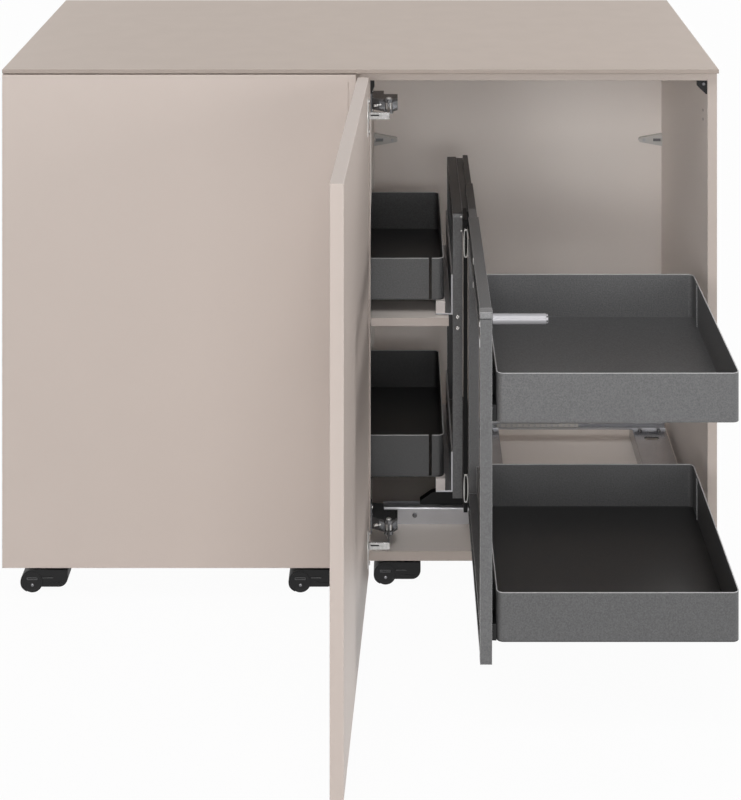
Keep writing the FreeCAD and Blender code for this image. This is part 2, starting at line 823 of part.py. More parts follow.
save("door_panel", door_panel())
save("hinge_cups", *[hinge_cup(z) for z in hinge_levels])
save("hinge_plates", *[hinge_plate(z) for z in hinge_levels])
save("hinge_arms", *[hinge_arm(z) for z in hinge_levels])
save("hinge_links", *[hinge_link(z) for z in hinge_levels])

places = castor_places(-module_width) + castor_places(0)
save("castor_plates", *[castor_top(x, y) for x, y in places])
for number, (x, y) in enumerate(places, 1):
    save(f"castor_{number}_housing", castor_housing(x, y))
    save(f"castor_{number}_wheels", castor_wheels(x, y))

save("front_rail", front_rail())
save("bridge_plates", *[bridge_plate(left) for left in (bridge_left, bridge_right - bridge_width)])
save("rear_rail", rear_rail())
save("carriage_shoe", carriage_shoe())
save("rear_slider", rear_slider())
save("carriage_frame", carriage_frame())
save("runner_bars", *[runner_bar(z) for z in runner_levels])
save("runner_middles", *[runner_middle(z) for z in runner_levels])
save("guide_frame", guide_frame())
save("catches", end_catch(runner_level_low),
     end_catch(runner_level_high + bar_half - catch_drop - catch_height))

save("front_frame", front_frame())
save("post_cap", post_cap())
save("handle", handle())
save("upper_front_tray", front_tray(tray_level_high))
save("lower_front_tray", front_tray(front_tray_level_low))
save("front_tray_hooks", *(tray_hooks(tray_level_high) + tray_hooks(front_tray_level_low)))
save("upper_rear_tray", rear_tray(tray_level_high))
save("lower_rear_tray", rear_tray(rear_tray_level_low))
rear_levels = (tray_level_high, rear_tray_level_low)
save("rear_tray_carriers", *[tray_carrier(z) for z in rear_levels])
save("rear_tray_clips", *[clip for z in rear_levels for clip in tray_clips(z)])
print("origin", round(origin_y, 4), "door near end", round(door_near, 3),
      "pivot", round(pivot.x, 3), round(pivot.y, 3))
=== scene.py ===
import json
import math

import bmesh
import bpy
from mathutils import Matrix, Vector


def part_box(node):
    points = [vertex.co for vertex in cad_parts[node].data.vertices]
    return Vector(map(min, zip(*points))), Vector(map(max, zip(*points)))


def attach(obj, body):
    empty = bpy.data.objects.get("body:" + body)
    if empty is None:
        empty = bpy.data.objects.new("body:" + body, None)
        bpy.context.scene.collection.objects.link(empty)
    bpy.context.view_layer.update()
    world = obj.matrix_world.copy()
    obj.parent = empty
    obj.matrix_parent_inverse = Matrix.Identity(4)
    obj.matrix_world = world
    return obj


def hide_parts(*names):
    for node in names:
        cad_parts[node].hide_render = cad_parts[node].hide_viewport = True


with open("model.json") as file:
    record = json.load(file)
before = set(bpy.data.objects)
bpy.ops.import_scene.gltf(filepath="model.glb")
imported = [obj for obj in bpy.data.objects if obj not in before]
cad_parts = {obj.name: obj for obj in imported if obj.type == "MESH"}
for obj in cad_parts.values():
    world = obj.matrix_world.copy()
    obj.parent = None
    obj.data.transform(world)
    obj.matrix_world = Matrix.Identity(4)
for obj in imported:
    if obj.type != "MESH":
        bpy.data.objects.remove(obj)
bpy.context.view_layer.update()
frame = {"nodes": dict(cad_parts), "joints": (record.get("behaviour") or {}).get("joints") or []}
nodes = frame["nodes"]

# Camera: stands in front of the cabinet, above it, and was used with a shifted lens, so the
# uprights stay parallel in the picture. The shift is a shear of the camera's mount, in pixels
# of the 741 by 800 picture: the eye level lies above the picture's upper edge.
carcass_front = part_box("left_outer_side")[0][1]
picture_width = 741
picture_height = 800
film_size = 36
eye_level = (397, -359)
focal_pixels = 1855
camera_right = 0.061
camera_front = 3.124
camera_height = 1.617
sight = Vector(((picture_width / 2 - eye_level[0]) / focal_pixels, 1,
                (eye_level[1] - picture_height / 2) / focal_pixels))
camera_data = bpy.data.cameras.new("camera")
camera_data.lens = film_size * focal_pixels * sight.length / picture_height
camera_data.clip_end = 50
camera = bpy.data.objects.new("camera", camera_data)
bpy.context.scene.collection.objects.link(camera)
camera_mount = bpy.data.objects.new("camera_mount", None)
bpy.context.scene.collection.objects.link(camera_mount)
camera.parent = camera_mount
back = -sight.normalized()
camera.matrix_parent_inverse = Matrix(((1, 0, back.x, camera_right),
                                       (0, 0, back.y, carcass_front - camera_front),
                                       (0, 1, back.z, camera_height),
                                       (0, 0, 0, 1)))
bpy.context.scene.camera = camera

# Castors: black moulded housings with a hood and cheeks round two soft-treaded wheels. Each turns
# on a stem in a plate that four screws hold under the bottom board. The hood ends in a tapered
# lip, and each cheek has a round cover, a dull rivet and moulded ribs in grey, a painted highlight
# of groove edges.
def linear(*rgb):
    """Shader colour of an 8-bit picture colour."""
    return [((c / 255 + 0.055) / 1.055) ** 2.4 for c in rgb] + [1]


def group_socket(tree, name, direction, kind, value=None):
    """Named input or output of a node group."""
    socket = tree.interface.new_socket(name, in_out=direction, socket_type=kind)
    if value is not None:
        socket.default_value = value


# Group: clouds and fine grain of a coated surface, from object coordinates in metres
grain = bpy.data.node_groups.new("coat_grain", "ShaderNodeTree")
group_socket(grain, "Cloud Size", "INPUT", "NodeSocketFloat", 0.25)
group_socket(grain, "Grain Size", "INPUT", "NodeSocketFloat", 0.002)
group_socket(grain, "Clouds", "OUTPUT", "NodeSocketFloat")
group_socket(grain, "Grain", "OUTPUT", "NodeSocketFloat")
grain_in = grain.nodes.new("NodeGroupInput")
grain_out = grain.nodes.new("NodeGroupOutput")
grain_place = grain.nodes.new("ShaderNodeTexCoord")
for size_name, out_name, detail in (("Cloud Size", "Clouds", 3), ("Grain Size", "Grain", 2)):
    per_metre = grain.nodes.new("ShaderNodeMath")
    per_metre.operation = "DIVIDE"
    per_metre.inputs[0].default_value = 1
    noise = grain.nodes.new("ShaderNodeTexNoise")
    noise.inputs["Detail"].default_value = detail
    grain.links.new(grain_in.outputs[size_name], per_metre.inputs[1])
    grain.links.new(grain_place.outputs["Object"], noise.inputs["Vector"])
    grain.links.new(per_metre.outputs[0], noise.inputs["Scale"])
    grain.links.new(noise.outputs["Fac"], grain_out.inputs[out_name])


# Group: softly rounded edges, as a normal and as a mask of the narrow band along the edges that gets
# another tone: a painted highlight where that tone is lighter, painted shade where it is darker
edge_band = bpy.data.node_groups.new("edge_band", "ShaderNodeTree")
group_socket(edge_band, "Width", "INPUT", "NodeSocketFloat", 0.001)
group_socket(edge_band, "Mask", "OUTPUT", "NodeSocketFloat")
group_socket(edge_band, "Normal", "OUTPUT", "NodeSocketVector")
band_in = edge_band.nodes.new("NodeGroupInput")
band_out = edge_band.nodes.new("NodeGroupOutput")
rounded = edge_band.nodes.new("ShaderNodeBevel")
rounded.samples = 4
true_face = edge_band.nodes.new("ShaderNodeNewGeometry")
facing = edge_band.nodes.new("ShaderNodeVectorMath")
facing.operation = "DOT_PRODUCT"
spread = edge_band.nodes.new("ShaderNodeMapRange")
spread.inputs["From Min"].default_value = 1.0
spread.inputs["From Max"].default_value = 0.75
edge_band.links.new(band_in.outputs["Width"], rounded.inputs["Radius"])
edge_band.links.new(rounded.outputs["Normal"], facing.inputs[0])
edge_band.links.new(true_face.outputs["True Normal"], facing.inputs[1])
edge_band.links.new(facing.outputs["Value"], spread.inputs["Value"])
edge_band.links.new(spread.outputs["Result"], band_out.inputs["Mask"])
edge_band.links.new(rounded.outputs["Normal"], band_out.inputs["Normal"])


def coated(name, dark, light, edge, roughness, cloud_size, grain_size, bump,
           edge_width=0.001, specular=0.5):
    """Coated surface: clouds from dark to light, a painted edge highlight (painted shade where the edge
    tone is darker), fine grain and bump.
    """
    grain_height_per_size = 0.2
    material = bpy.data.materials.new(name)
    material.use_nodes = True
    tree = material.node_tree
    shader = tree.nodes["Principled BSDF"]
    shader.inputs["Specular IOR Level"].default_value = specular
    texture = tree.nodes.new("ShaderNodeGroup")
    texture.name = "texture"
    texture.node_tree = grain
    texture.inputs["Cloud Size"].default_value = cloud_size
    texture.inputs["Grain Size"].default_value = grain_size
    clouds = tree.nodes.new("ShaderNodeMix")
    clouds.data_type = "RGBA"
    clouds.inputs["A"].default_value = dark
    clouds.inputs["B"].default_value = light
    band = tree.nodes.new("ShaderNodeGroup")
    band.node_tree = edge_band
    band.inputs["Width"].default_value = edge_width
    # Edge tone: a painted highlight along the edges, painted shade where the edge tone is darker.
    painted_edge_tone = tree.nodes.new("ShaderNodeMix")
    painted_edge_tone.data_type = "RGBA"
    painted_edge_tone.inputs["B"].default_value = edge
    gloss = tree.nodes.new("ShaderNodeMapRange")
    gloss.inputs["To Min"].default_value = roughness[0]
    gloss.inputs["To Max"].default_value = roughness[1]
    relief = tree.nodes.new("ShaderNodeBump")
    relief.inputs["Strength"].default_value = bump
    relief.inputs["Distance"].default_value = grain_size * grain_height_per_size
    tree.links.new(texture.outputs["Clouds"], clouds.inputs["Factor"])
    tree.links.new(clouds.outputs["Result"], painted_edge_tone.inputs["A"])
    tree.links.new(band.outputs["Mask"], painted_edge_tone.inputs["Factor"])
    tree.links.new(painted_edge_tone.outputs["Result"], shader.inputs["Base Color"])
    tree.links.new(texture.outputs["Grain"], gloss.inputs["Value"])
    tree.links.new(gloss.outputs["Result"], shader.inputs["Roughness"])
    tree.links.new(texture.outputs["Grain"], relief.inputs["Height"])
    tree.links.new(band.outputs["Normal"], relief.inputs["Normal"])
    tree.links.new(relief.outputs["Normal"], shader.inputs["Normal"])
    return material


def plated(name, dark, light, roughness, cloud_size, grain_size, bump,
           metallic=1, edge=None, edge_width=0.0004):
    """Plated or polished metal with faint streaks and a fine rolled texture."""
    material = coated(name, dark, light, edge or light, roughness, cloud_size, grain_size, bump,
                      edge_width)
    material.node_tree.nodes["Principled BSDF"].inputs["Metallic"].default_value = metallic
    return material


def finish_nodes(material, *names):
    """The CAD pieces of these names get this finish."""
    for name in names:
        nodes[name].data.materials.clear()
        nodes[name].data.materials.append(material)


def box_of(name):
    """Lowest and highest corner of a CAD piece at rest."""
    low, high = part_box(name)
    return Vector(low), Vector(high)


def made_object(mesh, name):
    """Object of a finished mesh."""
    data = bpy.data.meshes.new(name)
    mesh.to_mesh(data)
    mesh.free()
    return bpy.data.objects.new(name, data)


def turned_wall(mesh, profile, sides):
    """Turned wall about Z on a closed foot: profile points (radius, height). Gives its last ring."""
    rings = []
    for radius, height in profile:
        rings.append([mesh.verts.new((radius * math.cos(2 * math.pi * i / sides),
                                      radius * math.sin(2 * math.pi * i / sides), height))
                      for i in range(sides)])
    for low, high in zip(rings, rings[1:]):
        for i in range(sides):
            j = (i + 1) % sides
            mesh.faces.new((low[i], low[j], high[j], high[i]))
    mesh.faces.new(list(reversed(rings[0])))
    return rings[-1]


def turned(name, profile, sides):
    """Closed turned shape about Z: profile points (radius, height) from the lower to the upper pole."""
    mesh = bmesh.new()
    mesh.faces.new(turned_wall(mesh, profile, sides))
    return made_object(mesh, name)


def cross_head(name):
    """Pan head of radius 1 with a cross recess, built up from its rim to the recess floor."""
    mesh = bmesh.new()
    sides = 16
    top, recess_floor, recess_taper = 0.54, 0.24, 0.8
    rim = turned_wall(mesh, ((1.0, 0.0), (1.0, 0.22), (0.86, 0.44), (0.66, top)), sides)
    arm, half = 0.5, 0.12
    outline = ((arm, -half), (arm, half), (half, half), (half, arm), (-half, arm), (-half, half),
               (-arm, half), (-arm, -half), (-half, -half), (-half, -arm), (half, -arm), (half, -half))
    upper = [mesh.verts.new((x, y, top)) for x, y in outline]
    lower = [mesh.verts.new((x * recess_taper, y * recess_taper, recess_floor)) for x, y in outline]
    top_edges = [mesh.edges.get((rim[i], rim[(i + 1) % sides])) for i in range(sides)]
    for i in range(len(outline)):
        j = (i + 1) % len(outline)
        mesh.faces.new((upper[j], upper[i], lower[i], lower[j]))
        top_edges.append(mesh.edges.get((upper[i], upper[j])))
    mesh.faces.new(lower)
    bmesh.ops.triangle_fill(mesh, use_beauty=True, use_dissolve=False, edges=top_edges)
    bmesh.ops.recalc_face_normals(mesh, faces=mesh.faces)
    return made_object(mesh, name)


def block(x0, x1, z0, z1):
    """Outline of a rectangle."""
    return [(x0, z0), (x1, z0), (x1, z1), (x0, z1)]


def prism(name, outlines, near, far):
    """Straight pieces in one mesh: each outline of (x, z) points, from one depth to another."""
    mesh = bmesh.new()
    for outline in outlines:
        front = [mesh.verts.new((x, near, z)) for x, z in outline]
        rear = [mesh.verts.new((x, far, z)) for x, z in outline]
        mesh.faces.new(front)
        mesh.faces.new(list(reversed(rear)))
        for i in range(len(outline)):
            j = (i + 1) % len(outline)
            mesh.faces.new((front[i], rear[i], rear[j], front[j]))
    bmesh.ops.recalc_face_normals(mesh, faces=mesh.faces)
    piece = made_object(mesh, name)
    bpy.context.scene.collection.objects.link(piece)
    return piece


def fix(piece, finish, body):
    """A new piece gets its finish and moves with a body."""
    piece.data.materials.clear()
    piece.data.materials.append(finish)
    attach(piece, body)


# Tree: one fastener on each point, turned to the point's aim
fasteners = bpy.data.node_groups.new("set_fasteners", "GeometryNodeTree")
group_socket(fasteners, "Geometry", "INPUT", "NodeSocketGeometry")
group_socket(fasteners, "Template", "INPUT", "NodeSocketObject")
group_socket(fasteners, "Radius", "INPUT", "NodeSocketFloat", 0.004)
group_socket(fasteners, "Finish", "INPUT", "NodeSocketMaterial")
group_socket(fasteners, "Geometry", "OUTPUT", "NodeSocketGeometry")
set_in = fasteners.nodes.new("NodeGroupInput")
set_out = fasteners.nodes.new("NodeGroupOutput")
set_shape = fasteners.nodes.new("GeometryNodeObjectInfo")
set_aim = fasteners.nodes.new("GeometryNodeInputNamedAttribute")
set_aim.data_type = "FLOAT_VECTOR"
set_aim.inputs["Name"].default_value = "aim"
set_turn = fasteners.nodes.new("FunctionNodeAlignRotationToVector")
set_turn.axis = "Z"
set_copies = fasteners.nodes.new("GeometryNodeInstanceOnPoints")
set_real = fasteners.nodes.new("GeometryNodeRealizeInstances")
set_finish = fasteners.nodes.new("GeometryNodeSetMaterial")
for source, target in ((set_in.outputs["Template"], set_shape.inputs["Object"]),
                       (set_in.outputs["Geometry"], set_copies.inputs["Points"]),
                       (set_shape.outputs["Geometry"], set_copies.inputs["Instance"]),
                       (set_aim.outputs["Attribute"], set_turn.inputs["Vector"]),
                       (set_turn.outputs["Rotation"], set_copies.inputs["Rotation"]),
                       (set_in.outputs["Radius"], set_copies.inputs["Scale"]),
                       (set_copies.outputs["Instances"], set_real.inputs["Geometry"]),
                       (set_real.outputs["Geometry"], set_finish.inputs["Geometry"]),
                       (set_in.outputs["Finish"], set_finish.inputs["Material"]),
                       (set_finish.outputs["Geometry"], set_out.inputs["Geometry"])):
    fasteners.links.new(source, target)


def set_fasteners(name, template, radius, finish, body, places):
    """One piece of like fasteners: places are (point, aim) pairs in metres."""
    data = bpy.data.meshes.new(name)
    data.from_pydata([point for point, aim in places], [], [])
    aims = data.attributes.new("aim", "FLOAT_VECTOR", "POINT")
    for value, (point, aim) in zip(aims.data, places):
        value.vector = aim
    piece = bpy.data.objects.new(name, data)
    bpy.context.scene.collection.objects.link(piece)
    tree = piece.modifiers.new("fasteners", "NODES")
    tree.node_group = fasteners
    values = {"Template": template, "Radius": radius, "Finish": finish}
    for item in fasteners.interface.items_tree:
        if item.in_out == "INPUT" and item.name in values:
            tree[item.identifier] = values[item.name]
    made = piece.evaluated_get(bpy.context.evaluated_depsgraph_get())
    solid = bpy.data.meshes.new_from_object(made)
    piece.modifiers.remove(tree)
    piece.data = solid
    bpy.data.meshes.remove(data)
    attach(piece, body)


black_moulding = coated("black_moulding", linear(9, 9, 10), linear(14, 14, 15), linear(60, 60, 62),
                        roughness=(0.5, 0.62), cloud_size=0.02, grain_size=0.0006, bump=0.2, specular=0.3)
soft_tread = coated("soft_tread", linear(24, 24, 25), linear(32, 32, 33), linear(50, 50, 50),
                    roughness=(0.55, 0.75), cloud_size=0.01, grain_size=0.0008, bump=0.3)
zinc = plated("bright_zinc", linear(178, 178, 181), linear(196, 196, 199),
              roughness=(0.3, 0.45), cloud_size=0.03, grain_size=0.001, bump=0.1, metallic=0.7)
dull_steel = plated("dull_steel", linear(112, 112, 114), linear(128, 128, 130),
                    roughness=(0.3, 0.4), cloud_size=0.02, grain_size=0.0008, bump=0.05)
# Grey ribs on the black cheeks: painted highlight of the groove edges.
rib_highlight_grey = coated("rib_highlight_grey", linear(92, 93, 94), linear(108, 109, 110), linear(124, 125, 126),
                  roughness=(0.4, 0.5), cloud_size=0.02, grain_size=0.0006, bump=0.1)
screw_head = cross_head("screw_head")
rivet_head = turned("rivet_head", ((1.0, 0.0), (1.0, 0.12), (0.8, 0.3), (0.4, 0.42), (0.1, 0.45)), 16)
cheek_cover = turned("cheek_cover", ((1.0, 0.0), (1.0, 0.025), (0.96, 0.045), (0.78, 0.045),
                                     (0.74, 0.03), (0.2, 0.03)), 48)
millimetre = 0.001
long_rib = prism("long_rib", [block(-9, 9, 0, 0.8)], -0.4, 0.4)
short_rib = prism("short_rib", [block(-0.4, 0.4, 0, 0.8)], -1.5, 1.5)
rib_level = 0.024
rib_half = 0.0015
rib_middle = 0.020
rib_end = 0.0086
far_rib_middle = 0.047
long_rib_places = ((rib_middle, rib_level + rib_half), (rib_middle, rib_level - rib_half),
                   (far_rib_middle, rib_level + rib_half))
short_rib_places = ((rib_middle + rib_end, rib_level), (rib_middle - rib_end, rib_level))
wheel_r = 0.018
cover_air = 0.0006
hood_r = 0.0205
lip_air = 0.0003
lip_angles = [math.radians(angle) for angle in range(205, 241, 5)]
lip_taper = (hood_r - wheel_r - 2 * lip_air) / (len(lip_angles) - 1)
castor_rivet_r = 0.0028
castor_rivet_level = 0.0130
stem_from_rear = 0.022
castor_screw_from_stem = 0.0145
castor_screw_r = 0.0038
plate_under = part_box("castor_plates")[0][2]
castor_screws = []
for number in range(1, 9):
    castor = f"castor_{number}"
    finish_nodes(black_moulding, castor + "_housing")
    finish_nodes(soft_tread, castor + "_wheels")
    low, high = box_of(castor + "_housing")
    axle_x = low.x + hood_r
    lip_ring = [(hood_r - lip_taper * i, angle) for i, angle in enumerate(lip_angles)]
    lip_ring += [(wheel_r + lip_air, angle) for angle in reversed(lip_angles)]
    lip_outline = [(axle_x + radius * math.cos(angle), wheel_r + radius * math.sin(angle))
                   for radius, angle in lip_ring]
    fix(prism(castor + "_lip", [lip_outline], low.y, high.y), black_moulding, castor)
    cheeks = ((low.y, (0, -1, 0)), (high.y, (0, 1, 0)))
    set_fasteners(castor + "_rivets", rivet_head, castor_rivet_r, dull_steel, castor,
                  [((axle_x, face, castor_rivet_level), aim) for face, aim in cheeks])
    set_fasteners(castor + "_covers", cheek_cover, wheel_r - cover_air, black_moulding, castor,
                  [((axle_x, face, wheel_r), aim) for face, aim in cheeks])
    for kind, template, rib_places in (("_long_ribs", long_rib, long_rib_places),
                                       ("_short_ribs", short_rib, short_rib_places)):
        set_fasteners(castor + kind, template, millimetre, rib_highlight_grey, castor,
                      [((low.x + x, face, z), aim) for face, aim in cheeks for x, z in rib_places])
    stem_x, stem_y = high.x - stem_from_rear, (low.y + high.y) / 2
    for side_x in (-castor_screw_from_stem, castor_screw_from_stem):
        for side_y in (-castor_screw_from_stem, castor_screw_from_stem):
            castor_screws.append(((stem_x + side_x, stem_y + side_y, plate_under), (0, 0, -1)))
finish_nodes(black_moulding, "castor_plates")
set_fasteners("castor_screws", screw_head, castor_screw_r, zinc, "cabinet", castor_screws)

# Carcass: 16 mm boards coated in warm grey, joined by hidden fittings. The inner faces are painted
# paler than the boards' tone, as painted light for the interior; the outer faces of the sides are
# lacquered like the fronts, and the front edges are painted darker, as painted shade of the worktop's
# overhang and the open door.
def board_coated(name):
    """Inner board coat, paler than the boards' own tone: painted light for the cabinet's interior."""
    return coated(name, linear(236, 228, 222), linear(241, 233, 227), linear(243, 235, 229),
                  roughness=(0.45, 0.6), cloud_size=0.3, grain_size=0.0012, bump=0.08)


def faced(material, axis, limit, dark, light, below=False, mirrored=False):
    """Other colours on the faces past a limit of one object coordinate, in the same clouds."""
    tree = material.node_tree
    shader = tree.nodes["Principled BSDF"]
    before = shader.inputs["Base Color"].links[0].from_socket
    place = tree.nodes.new("ShaderNodeTexCoord")
    split = tree.nodes.new("ShaderNodeSeparateXYZ")
    size = tree.nodes.new("ShaderNodeMath")
    size.operation = "ABSOLUTE" if mirrored else "MULTIPLY"
    size.inputs[1].default_value = 1
    past = tree.nodes.new("ShaderNodeMath")
    past.operation = "LESS_THAN" if below else "GREATER_THAN"
    past.inputs[1].default_value = limit
    tone = tree.nodes.new("ShaderNodeMix")
    tone.data_type = "RGBA"
    tone.inputs["A"].default_value = dark
    tone.inputs["B"].default_value = light
    choice = tree.nodes.new("ShaderNodeMix")
    choice.data_type = "RGBA"
    tree.links.new(place.outputs["Object"], split.inputs["Vector"])
    tree.links.new(split.outputs[axis], size.inputs[0])
    tree.links.new(size.outputs[0], past.inputs[0])
    tree.links.new(tree.nodes["texture"].outputs["Clouds"], tone.inputs["Factor"])
    tree.links.new(past.outputs[0], choice.inputs["Factor"])
    tree.links.new(before, choice.inputs["A"])
    tree.links.new(tone.outputs["Result"], choice.inputs["B"])
    tree.links.new(choice.outputs["Result"], shader.inputs["Base Color"])


face_depth = 0.0005
lacquer_dark = linear(198, 185, 177)
lacquer_light = linear(203, 190, 182)
case_low, case_high = box_of("right_outer_side")
# The inner faces are painted paler than the fronts' tone: painted light for the interior.
inner_board = board_coated("inner_board_coat")
# Front edges of the boards painted darker: painted shade under the worktop and beside the open door.
faced(inner_board, "Y", carcass_front + face_depth,
      linear(184, 172, 164), linear(189, 177, 169), below=True)
faced(inner_board, "X", case_high.x - face_depth, lacquer_dark, lacquer_light, mirrored=True)
finish_nodes(inner_board, "left_outer_side", "left_inner_side", "left_bottom", "left_top", "left_back",
             "right_inner_side", "right_outer_side", "right_bottom", "right_top", "right_back")

# Joints of the boards: fine dark lines at the back, where the two modules meet and where the backs
# sit between the sides, the bottoms and the tops.
joint_half = 0.0004
joint_proud = 0.0002
back_low, back_high = box_of("right_back")
joint_lines = [block(x - joint_half, x + joint_half, case_low.z, case_high.z)
               for x in (-back_high.x, -back_low.x, 0, back_low.x, back_high.x)]
joint_lines += [block(left, right, z - joint_half, z + joint_half)
                for left, right in ((-back_high.x, -back_low.x), (back_low.x, back_high.x))
                for z in (back_low.z, back_high.z)]
joint_shade = coated("joint_shade", linear(96, 89, 84), linear(108, 101, 96), linear(108, 101, 96),
                     roughness=(0.6, 0.7), cloud_size=0.05, grain_size=0.001, bump=0.05)
board_joints = prism("board_joints", joint_lines, back_high.y - joint_proud, back_high.y + joint_proud)
fix(board_joints, joint_shade, "cabinet")

# Shelf: one 14 mm board from the left module into the right one, with the paler inner coat as
# painted light, and an edge band. It lies on zinc pins and angles.
shelf_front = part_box("shelf")[0][1]
shelf_board = board_coated("shelf_board_coat")
faced(shelf_board, "Y", shelf_front + face_depth,
      linear(206, 194, 187), linear(211, 199, 192), below=True)
finish_nodes(shelf_board, "shelf")
finish_nodes(zinc, "shelf_supports")

# Wall brackets and gussets: grey moulded brackets hold the back in its corners, each with a screw
# and a slot whose floor is a darker steel piece, painted shade in the slot. Black moulded gussets
# stiffen the top at the fronts of the sides, the outer ones with a screw, and two bores in the right
# side are black discs, painted shade in the holes.
grey_moulding = coated("grey_moulding", linear(192, 190, 187), linear(202, 200, 197),
                       linear(214, 212, 210),
                       roughness=(0.35, 0.5), cloud_size=0.02, grain_size=0.0006, bump=0.1)
finish_nodes(grey_moulding, "wall_brackets")
bracket_low, bracket_high = box_of("wall_brackets")
bracket_level = (bracket_low.z + bracket_high.z) / 2
inner_side_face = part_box("right_inner_side")[1][0]
bracket_walls = ((bracket_low.x, 1), (-inner_side_face, -1), (inner_side_face, 1), (bracket_high.x, -1))
bracket_screw_reach = 0.036
bracket_screw_r = 0.003
set_fasteners("bracket_screws", screw_head, bracket_screw_r, zinc, "cabinet",
              [((wall + side * bracket_screw_reach, bracket_low.y, bracket_level), (0, -1, 0))
               for wall, side in bracket_walls])
# Slot floors in darker steel: painted shade in the slots.
slot_near = 0.003
slot_far = 0.018
slot_half = 0.0028
slot_cover = 0.0008
bracket_wells = prism("bracket_wells", [block(wall + side * slot_near, wall + side * slot_far,
                                              bracket_level - slot_half, bracket_level + slot_half)
                                        for wall, side in bracket_walls],
                      bracket_low.y + slot_cover, bracket_high.y - slot_cover)
fix(bracket_wells, dull_steel, "cabinet")
gusset_low, gusset_high = box_of("corner_gussets")
outer_gusset_width = 0.016
inner_gusset_width = 0.007
gusset_foot = 0.002
gusset_lip = 0.011
gussets = []
for wall, width in ((gusset_low.x, outer_gusset_width), (-inner_side_face, -inner_gusset_width),
                    (inner_side_face, inner_gusset_width), (gusset_high.x, -outer_gusset_width)):
    foot = math.copysign(gusset_foot, width)
    gussets.append([(wall, gusset_high.z), (wall + width, gusset_high.z),
                    (wall + width, gusset_high.z - gusset_lip),
                    (wall + foot, gusset_low.z), (wall, gusset_low.z)])
gusset_pieces = prism("moulded_gussets", gussets, gusset_low.y, gusset_high.y)
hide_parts("corner_gussets")
fix(gusset_pieces, black_moulding, "cabinet")
gusset_screw_in = 0.006
gusset_screw_down = 0.007
gusset_screw_r = 0.0028
set_fasteners("gusset_screws", screw_head, gusset_screw_r, dull_steel, "cabinet",
              [((x, gusset_low.y, gusset_high.z - gusset_screw_down), (0, -1, 0))
               for x in (gusset_high.x - gusset_screw_in, gusset_low.x + gusset_screw_in)])
# Black disc for a hole: painted shade in the hole.
bore_disc = turned("bore_disc", ((1.0, 0.0), (1.0, 0.05), (0.2, 0.05)), 20)
bore_r = 0.0025
bore_from_front = 0.046
bore_levels = (0.8155, 0.8000)
set_fasteners("side_bores", bore_disc, bore_r, black_moulding, "cabinet",
              [((case_low.x, carcass_front + bore_from_front, level), (-1, 0, 0)) for level in bore_levels])

# Base of the pull-out: a zinc-plated rail along the front, two folded bridge plates whose edges are
# painted dark as painted contact shade, and a rear rail on them. Pan-head screws hold the plates to
# the bottom board, one the front rail, and a row of steel balls in a grey cage shows along the rear rail.
# Dark edge tone: painted contact shade along the plates' edges.
bridge_zinc = plated("bridge_zinc", linear(170, 170, 173), linear(188, 188, 191),
                     roughness=(0.2, 0.32), cloud_size=0.03, grain_size=0.001, bump=0.1,
                     edge=linear(70, 70, 72), edge_width=0.0012)
finish_nodes(bridge_zinc, "bridge_plates")
finish_nodes(zinc, "front_rail", "rear_rail")
rail_low = Vector(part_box("front_rail")[0])
rear_low = Vector(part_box("rear_rail")[0])
bridge_low, bridge_high = box_of("bridge_plates")
bridge_width = 0.063
bridge_screw_half = 0.018
rear_screw_front = 0.006
rail_screw_from_end = 0.055
rail_screw_up = 0.0155
base_screw_r = 0.0042
base_screws = [((rail_low.x + rail_screw_from_end, rail_low.y, rail_low.z + rail_screw_up), (0, -1, 0))]
for middle in (bridge_low.x + bridge_width / 2, bridge_high.x - bridge_width / 2):
    base_screws.append(((middle, bridge_low.y + bridge_width / 2, bridge_high.z), (0, 0, 1)))
    for side in (-bridge_screw_half, bridge_screw_half):
        base_screws.append(((middle + side, rear_low.y - rear_screw_front, bridge_high.z), (0, 0, 1)))
set_fasteners("base_screws", screw_head, base_screw_r, dull_steel, "cabinet", base_screws)
ball_steps = 8
ball_pole = 0.02
ball_turns = [math.pi * i / ball_steps for i in range(ball_steps + 1)]
steel_ball = turned("steel_ball", [(max(ball_pole, math.sin(turn)), -math.cos(turn))
                                   for turn in ball_turns], 12)
ball_r = 0.0026
ball_pitch = 0.011
ball_count = 14
ball_first = rear_low.x + 0.157
ball_last = ball_first + ball_pitch * (ball_count - 1)
ball_level = rear_low.z + 0.0078
ball_sunk = 0.0012
set_fasteners("rear_rail_balls", steel_ball, ball_r, zinc, "cabinet",
              [((ball_first + ball_pitch * i, rear_low.y + ball_sunk, ball_level), (0, -1, 0))
               for i in range(ball_count)])
cage_margin = 0.006
cage_half = 0.0034
cage_sheet = 0.0003
ball_cage = prism("rear_rail_ball_cage", [block(ball_first - cage_margin, ball_last + cage_margin,
                                                ball_level - cage_half, ball_level + cage_half)],
                  rear_low.y - cage_sheet, rear_low.y + cage_sheet)
fix(ball_cage, grey_moulding, "cabinet")

# Carriage: a powder-coated steel loop on a black shoe and a zinc slider, with runner bars, a black
# guide frame and nickel end catches, each with a loop of bright wire. Two bright rivets and two
# pan-head screws show on its near post. The loop and the runner bars are a darker copy of the coat,
# as painted shade, and the near post's front face is painted paler, as painted light.
def powder_coated(name, dark, light, edge=224):
    """Anthracite powder coat: fine grain, a glossier skin and sheet edges painted paler as a painted
    highlight.
    """
    material = coated(name, linear(dark, dark, dark + 1), linear(light, light, light + 1),
                      linear(edge, edge, edge + 1),
                      roughness=(0.42, 0.52), cloud_size=0.002, grain_size=0.0009, bump=0.3,
                      edge_width=0.0009)
    material.node_tree.nodes["Principled BSDF"].inputs["IOR"].default_value = 1.7
    return material


